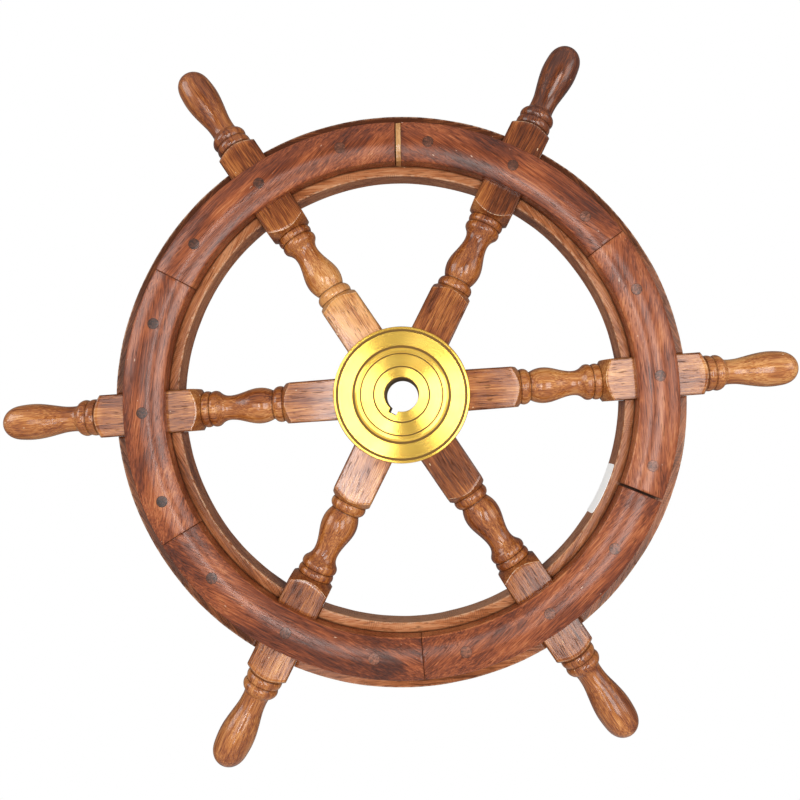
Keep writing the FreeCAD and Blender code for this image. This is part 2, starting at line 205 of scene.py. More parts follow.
def set_grain(piece, along, across, turn, offset):
    """Marks each vertex with its place in the plank: along the grain, then twice across it."""
    axes = Matrix((along, across, along.cross(across)))
    axes = Matrix.Rotation(turn, 3, "X") @ axes
    set_vectors(piece, "grain", mesh_points(piece.data) @ np.array(axes).T + np.array(offset))


def set_finish(piece, wear_dirt_and_painted_light, tone, third):
    """Marks each vertex with its wear, dirt and painted light, its tone, which carries painted light
    too, and a third number that its wood reads.

    That is the distance round the rim on a felloe, and on a spoke 1 where it is turned."""
    values = np.zeros((len(piece.data.vertices), 3))
    values[:, 0] = wear_dirt_and_painted_light
    values[:, 1] = tone
    values[:, 2] = third
    set_vectors(piece, "finish", values)


def tube_faces(rows, columns):
    """Quads between rows of a grid whose columns close into a ring."""
    faces = []
    for row in range(rows - 1):
        for column in range(columns):
            following = (column + 1) % columns
            faces.append((row * columns + column, row * columns + following,
                          (row + 1) * columns + following, (row + 1) * columns + column))
    return faces


def smooth_through(places, values, at):
    """Values at chosen places on a smooth curve through points, which doesn't overshoot."""
    step = np.diff(places)
    rise = np.diff(values) / step
    before, after = rise[:-1], rise[1:]
    same_way = before * after > 0
    total = np.where(same_way, before + after, 1)
    slope = np.zeros_like(values)
    slope[1:-1] = np.where(same_way, 2 * before * after / total, 0)
    slope[0], slope[-1] = rise[0], rise[-1]
    left = np.clip(np.searchsorted(places, at) - 1, 0, len(places) - 2)
    share = (at - places[left]) / step[left]
    return (values[left] * (1 + 2 * share) * (1 - share) ** 2
            + step[left] * slope[left] * share * (1 - share) ** 2
            + values[left + 1] * share ** 2 * (3 - 2 * share)
            + step[left] * slope[left + 1] * share ** 2 * (share - 1))


def lumps(points, size, seed):
    """A smooth random number from -1 to 1 at each point, with lumps of a size."""
    shift = Vector((seed * 7.31, seed * 3.17, seed * 5.73))
    return np.array([noise.noise(Vector(point) / size + shift) for point in points])


# ---- material helpers ----
class Nodes:
    """A node tree under construction, with short ways to add and join its nodes."""

    def __init__(self, tree):
        self.tree = tree

    def node(self, kind, **settings):
        made = self.tree.nodes.new("ShaderNode" + kind)
        for name, value in settings.items():
            setattr(made, name, value)
        return made

    def put(self, value, socket):
        """Joins an output to an input, or sets the input's own number or colour."""
        if isinstance(value, bpy.types.NodeSocket):
            self.tree.links.new(value, socket)
        else:
            socket.default_value = value

    def attribute(self, name):
        return self.node("Attribute", attribute_name=name).outputs["Vector"]

    def split(self, vector):
        parts = self.node("SeparateXYZ")
        self.put(vector, parts.inputs[0])
        return parts.outputs[0], parts.outputs[1], parts.outputs[2]

    def join(self, x, y, z):
        whole = self.node("CombineXYZ")
        for value, socket in zip((x, y, z), whole.inputs):
            self.put(value, socket)
        return whole.outputs[0]

    def math(self, operation, first, second=0.0, clamp=False):
        step = self.node("Math", operation=operation, use_clamp=clamp)
        self.put(first, step.inputs[0])
        self.put(second, step.inputs[1])
        return step.outputs[0]

    def total(self, start, *terms):
        """A start value plus each term times its share."""
        for value, share in terms:
            start = self.math("ADD", start, self.math("MULTIPLY", value, share))
        return start

    def noise(self, place, size, detail=2.0, roughness=0.5):
        """Noise from 0 to 1, with lumps of a size in metres along each axis."""
        scaled = self.node("VectorMath", operation="DIVIDE")
        self.put(place, scaled.inputs[0])
        self.put(size, scaled.inputs[1])
        texture = self.node("TexNoise")
        self.put(scaled.outputs[0], texture.inputs["Vector"])
        self.put(1.0, texture.inputs["Scale"])
        self.put(detail, texture.inputs["Detail"])
        self.put(roughness, texture.inputs["Roughness"])
        return texture.outputs["Fac"]

    def centred(self, value):
        return self.math("SUBTRACT", value, 0.5)

    def fade(self, value, low, high, start=0.0, end=1.0, kind="SMOOTHSTEP"):
        """A value mapped from one range to another, and held at its ends."""
        change = self.node("MapRange", interpolation_type=kind)
        for number, socket in zip((value, low, high, start, end), change.inputs):
            self.put(number, socket)
        return change.outputs[0]

    def ramp(self, value, *stops):
        """A colour from stops of (place, colour)."""
        ramp = self.node("ValToRGB")
        while len(ramp.color_ramp.elements) < len(stops):
            ramp.color_ramp.elements.new(1.0)
        for element, (place, colour) in zip(ramp.color_ramp.elements, stops):
            element.position = place
            element.color = (*colour, 1.0)
        self.put(value, ramp.inputs[0])
        return ramp.outputs[0]

    def mix(self, share, first, second):
        """A colour mixed by its share with a second one, given as a plain colour."""
        blender = self.node("Mix", data_type="RGBA")
        self.put(share, blender.inputs["Factor"])
        self.put(first, blender.inputs[6])
        self.put((*second, 1.0), blender.inputs[7])
        return blender.outputs[2]

    def bump(self, height, distance):
        """A surface direction from a height between 0 and 1 of a real depth."""
        bump = self.node("Bump")
        self.put(height, bump.inputs["Height"])
        self.put(distance, bump.inputs["Distance"])
        return bump.outputs[0]


class Recipe(Nodes):
    """A material under construction."""

    def __init__(self, name):
        self.material = bpy.data.materials.new(name)
        self.material.use_nodes = True
        super().__init__(self.material.node_tree)
        self.shader = self.tree.nodes["Principled BSDF"]

    def finish(self, **inputs):
        """Sets the shader's inputs by name and gives the material."""
        for name, value in inputs.items():
            self.put(value, self.shader.inputs[name.replace("_", " ")])
        return self.material


# ---- materials ----
def bent_grain(r, grain):
    """The place in the plank, wandering slowly across it as the growth figure does."""
    x, y, z = r.split(grain)
    drift = r.centred(r.noise(grain, (0.11, 0.03, 0.03), 1.0))
    ripple = r.centred(r.noise(grain, (0.018, 0.009, 0.009), 2.0))
    y_bent = r.total(y, (drift, 0.010), (ripple, 0.0010))
    z_bent = r.total(z, (drift, -0.007), (ripple, 0.0008))
    return r.join(x, y_bent, z_bent)


def saw_ridges(r, grain, around):
    """Even ridges across an edge that the saw's teeth left, in places."""
    jitter = r.centred(r.noise(grain, (0.02, 0.02, 0.02), 1.0))
    feed = r.total(around, (jitter, 0.010))
    ridges = r.math("SINE", r.math("MULTIPLY", feed, math.tau / SAW_PITCH))
    where = r.fade(r.noise(grain, (0.022, 0.012, 0.012), 1.0), 0.50, 0.68)
    return r.math("MULTIPLY", ridges, where)


def wood(name, stops, pore_and_shade_colour, worn_and_highlight_colour, pore_share=0.5, pore_width=0.7 * MM,
         coat=1.0, coat_rough=0.14, relief=0.20 * MM,
         figured=0.8, streaky=0.9, hairy=0.7, patchy=0.8, sawn=False, turned=False):
    """Varnished open-pored hardwood, from colour stops between its darkest and lightest."""
    r = Recipe(name)
    grain = r.attribute("grain")
    wear_dirt_and_painted_light, tone, third = r.split(r.attribute("finish"))
    bent = bent_grain(r, grain)
    figure = r.centred(r.noise(bent, (0.16, 0.0042, 0.006), 3.0, 0.6))
    streaks = r.centred(r.noise(bent, (0.026, 0.0011, 0.0013), 3.0, 0.7))
    hairs = r.centred(r.noise(bent, (0.016, 0.00055, 0.00065), 1.0))
    patches = r.centred(r.noise(grain, (0.045, 0.016, 0.016), 3.0))
    level = r.total(0.5, (figure, figured), (streaks, streaky), (hairs, hairy),
                    (patches, patchy), (tone, 1.0))
    colour = r.ramp(level, *stops)
    # long open pores crowd into the darker figure
    pore_noise = r.noise(bent, (12 * pore_width, pore_width, 1.1 * pore_width), 1.0, 0.4)
    pores = r.fade(r.total(pore_noise, (figure, -0.20)), 0.61, 0.68)
    if turned:
        # fewer show where the wood is turned, and more on the flat sides of the blocks
        pores = r.math("MULTIPLY", pores, r.total(1.0, (third, -0.6)))
    colour = r.mix(r.math("MULTIPLY", pores, pore_share), colour, pore_and_shade_colour)
    # worn edges show pale wood and, on the spokes' shoulders, a painted highlight; hollows hold dark
    # varnish and painted shade
    chips = r.fade(r.noise(grain, (0.004, 0.0014, 0.0014), 2.0), 0.38, 0.62)
    wear_and_painted_highlight = r.math("MULTIPLY", r.fade(wear_dirt_and_painted_light, 0.0, 1.0), chips)
    colour = r.mix(wear_and_painted_highlight, colour, worn_and_highlight_colour)
    dirt_and_painted_shade = r.fade(wear_dirt_and_painted_light, 0.0, -1.0)
    colour = r.mix(r.math("MULTIPLY", dirt_and_painted_shade, 0.85), colour, pore_and_shade_colour)
    # small pale nicks
    nicks = r.fade(r.noise(grain, (0.0042, 0.0016, 0.0016), 0.0), 0.86, 0.89)
    colour = r.mix(nicks, colour, worn_and_highlight_colour)
    # the varnish is brushed on unevenly, sinks into the pores and is dull where there is dirt and
    # painted shade
    brushed = r.centred(r.noise(grain, (0.005, 0.0014, 0.0014), 2.0, 0.6))
    planed = r.centred(r.noise(grain, (0.012, 0.004, 0.004), 1.0))
    rough = r.total(0.36, (brushed, 0.2), (pores, 0.3), (dirt_and_painted_shade, 0.3))
    sunk = r.total(coat, (pores, -coat * pore_share))
    varnish = r.math("MULTIPLY", sunk, r.total(1.0, (dirt_and_painted_shade, -0.8)), clamp=True)
    height = r.total(0.5, (streaks, 0.3), (brushed, 0.6), (planed, 0.9), (pores, -0.22), (nicks, -0.3))
    if turned:
        # lathe work is smoother than the planed blocks
        height = r.math("MULTIPLY", height, r.total(1.0, (third, -0.65)))
    if sawn:
        ridges = saw_ridges(r, grain, third)
        height = r.total(height, (ridges, 0.12))
        shade = r.math("MULTIPLY", r.fade(ridges, 0.2, -0.8), 0.3)
        colour = r.mix(shade, colour, pore_and_shade_colour)
    return r.finish(Base_Color=colour, Roughness=rough, Normal=r.bump(height, relief),
                    Specular_IOR_Level=0.12, Specular_Tint=(1.0, 0.78, 0.52, 1.0),
                    Coat_Weight=varnish, Coat_Roughness=coat_rough, Coat_IOR=1.5)


def turned_wood():
    """The spokes' wood: golden, glossy and full of pores."""
    return wood("turned_wood_visual",
                ((0.10, (0.065, 0.013, 0.004)), (0.36, (0.20, 0.047, 0.010)),
                 (0.62, (0.41, 0.135, 0.030)), (0.92, (0.68, 0.33, 0.11))),
                pore_and_shade_colour=(0.045, 0.012, 0.004), worn_and_highlight_colour=(0.80, 0.56, 0.34),
                pore_share=0.65, pore_width=0.72 * MM, coat=0.9, coat_rough=0.16,
                relief=0.40 * MM, figured=0.65, streaky=0.65, hairy=0.8, turned=True)


def core_wood():
    """The middle felloes' wood, sawn and thinly varnished."""
    return wood("core_wood_visual",
                ((0.08, (0.07, 0.016, 0.005)), (0.36, (0.21, 0.058, 0.017)),
                 (0.62, (0.37, 0.120, 0.041)), (0.95, (0.54, 0.24, 0.11))),
                pore_and_shade_colour=(0.030, 0.009, 0.004), worn_and_highlight_colour=(0.60, 0.36, 0.22),
                coat=0.25, sawn=True)


def facing_wood():
    """The domed felloes' wood: redder and darker than the rest."""
    return wood("facing_wood_visual",
                ((0.10, (0.050, 0.009, 0.004)), (0.38, (0.160, 0.031, 0.008)),
                 (0.62, (0.32, 0.078, 0.022)), (0.92, (0.52, 0.19, 0.070))),
                pore_and_shade_colour=(0.026, 0.007, 0.003), worn_and_highlight_colour=(0.62, 0.40, 0.28),
                pore_share=0.45, coat=0.7, coat_rough=0.25,
                relief=0.38 * MM, figured=0.5, patchy=1.1)


def shim_wood():
    """Pale wood with few pores, for the strip in the joint."""
    return wood("shim_wood_visual",
                ((0.10, (0.30, 0.125, 0.036)), (0.40, (0.44, 0.215, 0.075)),
                 (0.70, (0.56, 0.31, 0.13)), (0.95, (0.66, 0.42, 0.21))),
                pore_and_shade_colour=(0.16, 0.065, 0.02), worn_and_highlight_colour=(0.75, 0.6, 0.42),
                pore_share=0.3, coat=0.5)


def plug_wood():
    """End grain of small dowels, each a little different, and painted paler towards the lower right as
    painted light.
    """
    r = Recipe("plug_wood_visual")
    place = r.node("TexCoord").outputs["Object"]
    dowel = r.noise(place, (0.03, 0.2, 0.03), 0.0)
    fibres = r.noise(place, (0.0009, 0.004, 0.0009), 2.0)
    rings = r.noise(place, (0.0026, 0.03, 0.0018), 1.0)
    x, _, z = r.split(place)
    # painted light and shade across the wheel: paler towards the right and lower down, darker at the
    # upper left
    level = r.total(0.50, (r.centred(dowel), 0.8), (x, 1.0), (z, -0.45),
                    (r.centred(fibres), 0.9), (r.centred(rings), 0.8))
    colour = r.ramp(level, (0.1, (0.022, 0.008, 0.004)), (0.5, (0.095, 0.030, 0.014)),
                    (0.9, (0.29, 0.098, 0.048)))
    height = r.total(0.5, (r.centred(fibres), 1.0), (r.centred(rings), 1.0))
    return r.finish(Base_Color=colour, Roughness=r.total(0.42, (r.centred(rings), 0.2)),
                    Normal=r.bump(height, 0.25 * MM), Specular_IOR_Level=0.1, Coat_Weight=0.7,
                    Coat_Roughness=0.25, Coat_IOR=1.5)


def face_grooves():
    """The grooves turned in the hub's face, each as its middle radius and half its width."""
    radius, level, _ = polar(node_points("hub_front"))
    near_face = level > level.max() - GROOVED_DEPTH
    radius, level = radius[near_face], level[near_face]
    order = np.argsort(radius)
    radius, level = radius[order], level[order]
    grooves = []
    least_half, least_depth = SMALLEST_GROOVE
    for group in np.split(np.arange(len(radius)), np.nonzero(np.diff(radius) > GROOVE_APART)[0] + 1):
        half = (radius[group[-1]] - radius[group[0]]) / 2
        middle = (radius[group[-1]] + radius[group[0]]) / 2
        depth = min(level[group[0]], level[group[-1]]) - level[group].min()
        if half > least_half and depth > least_depth:
            grooves.append((middle, half))
    return grooves


def hub_brass(name, grooves):
    """Brass left bright from the lathe, with fine rings, smudges, grooves darkened by old polish and
    painted shade, and a bore painted dark as shade.
    """
    r = Recipe(name)
    place = r.node("TexCoord").outputs["Object"]
    x, y, z = r.split(place)
    radius = r.math("SQRT", r.total(r.math("MULTIPLY", x, x), (r.math("MULTIPLY", z, z), 1.0)))
    lathe_place = r.join(radius, r.math("MULTIPLY", y, 0.3), 0.0)
    rings = r.centred(r.noise(lathe_place, (0.00035, 0.0006, 1.0), 3.0, 0.7))
    bands = r.centred(r.noise(lathe_place, (0.0022, 0.004, 1.0), 1.0))
    smudges = r.centred(r.noise(place, (0.016, 0.02, 0.012), 3.0, 0.6))
    specks = r.fade(r.noise(place, (0.0011, 0.0011, 0.0011), 1.0), 0.74, 0.80)
    level = r.total(0.5, (rings, 0.6), (bands, 0.3), (smudges, 0.5))
    colour = r.ramp(level, (0.05, (0.84, 0.42, 0.050)), (0.5, (0.96, 0.61, 0.11)),
                    (0.9, (1.0, 0.72, 0.17)))
    colour = r.mix(r.math("MULTIPLY", specks, 0.25), colour, (0.45, 0.22, 0.03))
    # old polish and painted shade darken the grooves, and the bore is painted dark as shade
    below_face = r.fade(y, -FACE_LEVEL, -FACE_LEVEL + 0.6 * MM)
    grime_and_shade = r.math("MULTIPLY", r.fade(radius, *BORE_SHADE), below_face)
    for middle, half in grooves:
        away = r.math("ABSOLUTE", r.math("SUBTRACT", radius, middle))
        grime_and_shade = r.math("MAXIMUM", grime_and_shade, r.fade(away, 1.15 * half, 0.55 * half))
    colour = r.mix(r.math("MULTIPLY", grime_and_shade, 0.92), colour, (0.11, 0.050, 0.006))
    rough = r.total(0.25, (smudges, 0.02), (rings, 0.03), (grime_and_shade, 0.3))
    tangent = r.node("Tangent", direction_type="RADIAL", axis="Y").outputs[0]
    return r.finish(Base_Color=colour, Metallic=r.total(1.0, (grime_and_shade, -0.8)), Roughness=rough,
                    Anisotropic=0.91, Anisotropic_Rotation=0.25, Tangent=tangent,
                    Normal=r.bump(rings, 0.01 * MM))


def screw_steel():
    """Plain steel with a dull grey film."""
    r = Recipe("screw_steel_visual")
    place = r.node("TexCoord").outputs["Object"]
    film = r.noise(place, (0.0012, 0.003, 0.0012), 3.0, 0.6)
    colour = r.ramp(film, (0.3, (0.30, 0.29, 0.28)), (0.7, (0.62, 0.61, 0.59)))
    return r.finish(Base_Color=colour, Metallic=1.0, Roughness=r.total(0.3, (film, 0.25)),
                    Normal=r.bump(film, 0.02 * MM))


def label_paper():
    """Coated white label stock, faintly mottled, with a faint glow to keep it white in the shade."""
    r = Recipe("label_paper_visual")
    place = r.node("TexCoord").outputs["Object"]
    fibres = r.noise(place, (0.0006, 0.0006, 0.0006), 3.0, 0.6)
    stain = r.noise(place, (0.008, 0.008, 0.008), 2.0)
    level = r.total(0.6, (r.centred(fibres), 0.4), (r.centred(stain), 0.5))
    colour = r.ramp(level, (0.2, (0.88, 0.87, 0.84)), (0.7, (0.96, 0.955, 0.94)))
    return r.finish(Base_Color=colour, Roughness=r.total(0.38, (r.centred(stain), 0.2)),
                    Normal=r.bump(fibres, 0.03 * MM), Emission_Color=colour, Emission_Strength=0.3)


# ---- spokes ----
def on_block(reach):
    """Where a spoke is square."""
    return (reach < HUB_SHOULDER) | ((reach > RIM_SHOULDERS[0]) & (reach < RIM_SHOULDERS[1]))


def turned_outline():
    """The lathe outline of a spoke, read from spoke 1: matching reaches and girths."""
    points = node_points("spoke_1")
    reach = points[:, 0]
    girth = np.hypot(points[:, 1], points[:, 2])
    is_turned = ~on_block(reach)
    reach, girth = reach[is_turned], girth[is_turned]
    rings, member, count = np.unique(np.round(reach / TOUCH), return_inverse=True, return_counts=True)
    kept = []
    for ring in np.argsort(-count, kind="stable"):
        gaps = [abs(rings[ring] - rings[other]) * TOUCH for other in kept]
        if not gaps or min(gaps) > EDGE_SOFT:
            kept.append(ring)
    kept.sort()
    mean_reach = np.array([reach[member == ring].mean() for ring in kept])
    mean_girth = np.array([girth[member == ring].mean() for ring in kept])
    return mean_reach, mean_girth


def evenly_turned(outline, start, end):
    """The outline between two reaches, at even steps along its own curve."""
    reach, girth = outline
    inside = (reach > start - TOUCH) & (reach < end + TOUCH)
    reach, girth = reach[inside], girth[inside]
    travel = np.concatenate([[0], np.cumsum(np.hypot(np.diff(reach), np.diff(girth)))])
    at = np.linspace(0, travel[-1], int(travel[-1] / TURNED_STEP) + 1)
    return smooth_through(travel, reach, at), smooth_through(travel, girth, at)


def angle_to_corner(angle):
    """How far each angle round square stock is from the nearest corner."""
    return math.pi / 4 - np.abs((angle + math.pi / 4) % (math.pi / 2) - math.pi / 4)


def square_girth(half, angle):
    """The girth of square stock with rounded corners, at angles round its axis."""
    to_corner = angle_to_corner(angle)
    off_middle = math.pi / 4 - to_corner
    centre = (half - STOCK_ROUND) * math.sqrt(2)
    root = np.maximum(STOCK_ROUND ** 2 - (centre * np.sin(to_corner)) ** 2, 0)
    rounded = centre * np.cos(to_corner) + np.sqrt(root)
    on_flat = np.tan(off_middle) <= (half - STOCK_ROUND) / half
    return np.where(on_flat, half / np.cos(off_middle), rounded)


def spoke_angles():
    """Angles round a spoke: even on its faces and close together at its corners."""
    face = [-45, -44.4, -43.6, -42.4, *range(-40, 41, 5), 42.4, 43.6, 44.4]
    return np.radians([90 * side + angle for side in range(4) for angle in face])


def spoke_grid(outline):
    """A whole spoke as rows of (reach, girth) for each angle round it, with each row's wear, dirt and
    painted light.
    """
    reach, girth = outline
    angles = spoke_angles()
    footed = girth < SHOULDER_FOOT_GIRTH
    hub_foot = reach[footed][0]
    inner_foot = reach[footed & (reach < RIM_SHOULDERS[0])][-1]
    outer_foot = reach[footed & (reach > RIM_SHOULDERS[1])][0]
    hub = reach <= hub_foot
    inner = (reach >= inner_foot) & (reach <= RIM_SHOULDERS[0])
    outer = (reach >= RIM_SHOULDERS[1]) & (reach <= outer_foot)

    rim_girth = square_girth(HALF_STOCK, angles)
    hub_share = girth[hub].max() / rim_girth.max()
    hub_girth = rim_girth * hub_share
    hub_edge = np.interp(hub_girth, girth[hub][::-1], reach[hub][::-1])
    inner_edge = np.interp(rim_girth, girth[inner], reach[inner])
    outer_edge = np.interp(rim_girth, girth[outer][::-1], reach[outer][::-1])
    # the inner end follows the hub's sleeve, and its sides meet the next spokes' in mitres
    across = np.minimum(np.abs(np.sin(angles)) * rim_girth, SLEEVE_CLEARANCE)
    inner_end = np.maximum(np.sqrt(SLEEVE_CLEARANCE ** 2 - across ** 2), across / math.tan(PITCH / 2))

    # the blocks' long edges took more stain
    long_edge = -0.7 * np.clip(1.2 - angle_to_corner(angles) / math.radians(4), 0, 1)
    rows = []

    def add(place, size, wear_dirt_and_painted_light=0.0):
        place = np.broadcast_to(place, angles.shape)
        rows.append((place, np.broadcast_to(size, angles.shape), np.broadcast_to(wear_dirt_and_painted_light, angles.shape)))

    def add_block(start, end, size, taper):
        """Flat faces up to a shoulder's edge, which is worn round."""
        count = int(np.mean(end - start) / BLOCK_STEP) + 2
        for share in np.linspace(0, 1, count):
            place = start + (end - start) * share
            add(place, size * (1 + taper * (HUB_SHOULDER - place)), long_edge)

    # a shoulder's edge is painted pale: wear, and a painted highlight along the rounded edge
    def add_edge(edge, size):
        add(edge, size - EDGE_SOFT * 0.3, 1.0)

    def add_shoulder(start, end):
        """Turned rows from one place to another, which may differ round the spoke."""
        count = max(4, int(np.mean(np.abs(end - start)) / TURNED_STEP))
        for share in np.linspace(0, 1, count):
            place = start + (end - start) * share
            # the shoulder's slope is painted darker as shade
            add(place, np.interp(place, reach, girth), SHOULDER_SHADE)

    def add_turned(start, end):
        for place, size in zip(*evenly_turned(outline, start, end)):
            add(place, size, hollow(place))

    def hollow(place):
        """Below zero in the grooves between beads: dirt and painted shade."""
        before, here, after = np.interp([place - GROOVE_SIDE, place, place + GROOVE_SIDE], reach, girth)
        return -np.interp((before + after) / 2 - here, GROOVE_DIRT_AND_SHADE, (0, 1))

    taper = (1 / hub_share - 1) / HUB_SHOULDER
    add_block(inner_end, hub_edge - EDGE_SOFT, hub_girth, taper)
    add_edge(hub_edge, hub_girth)
    add_shoulder(hub_edge + EDGE_SOFT, hub_foot - FOOT_STEP)
    add_turned(hub_foot, inner_foot)
    add_shoulder(inner_foot + FOOT_STEP, inner_edge - EDGE_SOFT)
    add_edge(inner_edge, rim_girth)
    add_block(inner_edge + EDGE_SOFT, outer_edge - EDGE_SOFT, rim_girth, 0)
    add_edge(outer_edge, rim_girth)
    add_shoulder(outer_edge + EDGE_SOFT, outer_foot - FOOT_STEP)
    add_turned(outer_foot, reach[-1])
    place, size, wear_dirt_and_painted_light = (np.array(part) for part in zip(*rows))
    return place, size, wear_dirt_and_painted_light, angles


def build_spoke(index, grid, material, tones):
    """One spoke, spun to its place, with its own piece of the wood, tinted from hub to tip, the tint
    also carrying painted sheen.
    """
    place, size, wear_dirt_and_painted_light, angles = grid
    rows, columns = place.shape
    points = np.stack([place, size * np.cos(angles), size * np.sin(angles)], -1).reshape(-1, 3)
    points = np.vstack([points, [[SLEEVE_CLEARANCE, 0, 0], [TIP_RADIUS, 0, 0]]])
    wear_dirt_and_painted_light = np.append(wear_dirt_and_painted_light.ravel(), [0, 0])
    faces = tube_faces(rows, columns)
    last = (rows - 1) * columns
    for column in range(columns):
        following = (column + 1) % columns
        faces.append((following, column, rows * columns))
        faces.append((last + column, last + following, rows * columns + 1))
    dents = lumps(points, DENT_SIZE, index) * DENT_DEPTH
    points[:, 1:] *= (1 + dents / np.maximum(np.hypot(points[:, 1], points[:, 2]), MM))[:, None]
    turn = Matrix.Rotation(-index * PITCH, 3, "Y")
    points = points @ np.array(turn).T
    name = "spoke_%d" % (index + 1)
    piece = add_piece("turned_" + name, points, faces, material, name)
    set_grain(piece, turn @ Vector((1, 0, 0)), turn @ Vector((0, 1, 0)),
              0.9 * index, (0.37 * index, 0.013 * index, 0.05 + 0.007 * index))
    reach = np.append(place.ravel(), [SLEEVE_CLEARANCE, TIP_RADIUS])
    is_turned = ~on_block(reach)
    tone = np.interp(reach, TONE_REACHES, tones) + TURNED_TONE * is_turned
    set_finish(piece, wear_dirt_and_painted_light, tone, is_turned)
    finish_piece(piece)


# ---- rim ----
def end_section(radius, level, angle, walls):
    """The section of a rim piece, as points in order round it, read from its last end face."""
    on_end = np.abs(angle - end_angle(walls, radius, 2)) * radius < TOUCH
    section = np.unique(np.round(np.stack([radius[on_end], level[on_end]], 1) / TOUCH), axis=0) * TOUCH
    middle = (section.min(0) + section.max(0)) / 2
    heading = np.arctan2(section[:, 1] - middle[1], section[:, 0] - middle[0])
    return section[np.argsort(heading)]


def evenly_round(section):
    """Points at about even steps round a closed outline, its own corners kept."""
    points = []
    for here, there in zip(section, np.roll(section, -1, axis=0)):
        count = max(1, round(np.linalg.norm(there - here) / SECTION_STEP))
        points += [here + (there - here) * share / count for share in range(count)]
    return np.array(points)


def felloe_mesh(radius, level, angle, hand_cut, seed, gaps=(0, 0)):
    """A rim piece swept between its straight-cut ends, which fall short by the gaps.

    Its walls stray up to about the depth that a hand cut them by."""
    walls = felloe_ends(radius, angle)
    section = evenly_round(end_section(radius, level, angle, walls))
    columns = len(section)
    start = end_angle(walls, section[:, 0], 1) + gaps[0] / section[:, 0]
    end = end_angle(walls, section[:, 0], 2) - gaps[1] / section[:, 0]
    length = (end - start).mean() * section[:, 0].mean()
    soft = EDGE_SOFT / length
    shares = [0, *np.linspace(soft, 1 - soft, int(length / FELLOE_STEP)), 1]
    middle = (section.min(0) + section.max(0)) / 2
    points = []
    for share in shares:
        at_end = share in (0, 1)
        size = section - np.sign(section - middle) * EDGE_SOFT * 0.7 if at_end else section
        turn = start + (end - start) * share
        points.append(np.stack([size[:, 0] * np.cos(turn), -size[:, 1], size[:, 0] * np.sin(turn)], 1))
    points = np.vstack(points)
    reach = np.hypot(points[:, 0], points[:, 2])
    swell = lumps(points, WAVE_SIZE, seed) + 0.3 * lumps(points, RIPPLE_SIZE, seed + 50)
    points[:, [0, 2]] *= (1 + hand_cut * swell / reach)[:, None]
    rows = len(shares)
    faces = tube_faces(rows, columns)
    faces.append(tuple(range(columns)))
    faces.append(tuple(range((rows - 1) * columns, rows * columns)))
    return points, faces


def mend_normals(piece):
    """Turns every face outwards."""
    mesh = bmesh.new()
    mesh.from_mesh(piece.data)
    bmesh.ops.recalc_face_normals(mesh, faces=mesh.faces)
    mesh.to_mesh(piece.data)
    mesh.free()


def cut_away(piece, cutter_mesh):
    """Cuts closed shapes out of a piece."""
    mesh = bpy.data.meshes.new("cutter")
    cutter_mesh.to_mesh(mesh)
    cutter_mesh.free()
    cutter = bpy.data.objects.new("cutter", mesh)
    bpy.context.scene.collection.objects.link(cutter)
    cut = piece.modifiers.new("cut", "BOOLEAN")
    cut.object = cutter
    cut.solver = "EXACT"
    shape = piece.evaluated_get(bpy.context.evaluated_depsgraph_get())
    result = bpy.data.meshes.new_from_object(shape)
    piece.modifiers.clear()
    bpy.data.objects.remove(cutter)
    piece.data = result


def facing_cutter(spoke_angle, side, core_half):
    """The spoke's notch and the three plug holes of a facing felloe, as closed shapes."""
    cutter = bmesh.new()
    turn = Matrix.Rotation(-spoke_angle, 4, "Y")
    depth = HALF_STOCK + HOLE_CLEARANCE
    notch = Matrix.Diagonal((TIP_RADIUS, 2 * depth, 2 * depth, 1))
    middle = turn @ Matrix.Translation((TIP_RADIUS / 2, 0, 0))
    bmesh.ops.create_cube(cutter, size=1, matrix=middle @ notch)
    for step in (-1, 0, 1):
        spin = Matrix.Rotation(-spoke_angle - step * PLUG_SPREAD, 4, "Y")
        place = spin @ Matrix.Translation((PLUG_CIRCLE, -side * 2 * core_half, 0))
        lying = place @ Matrix.Rotation(math.pi / 2, 4, "X")
        bmesh.ops.create_cone(cutter, cap_ends=True, segments=48, radius1=PLUG_RADIUS + HOLE_CLEARANCE,
                              radius2=PLUG_RADIUS + HOLE_CLEARANCE, depth=2 * core_half, matrix=lying)
    return cutter


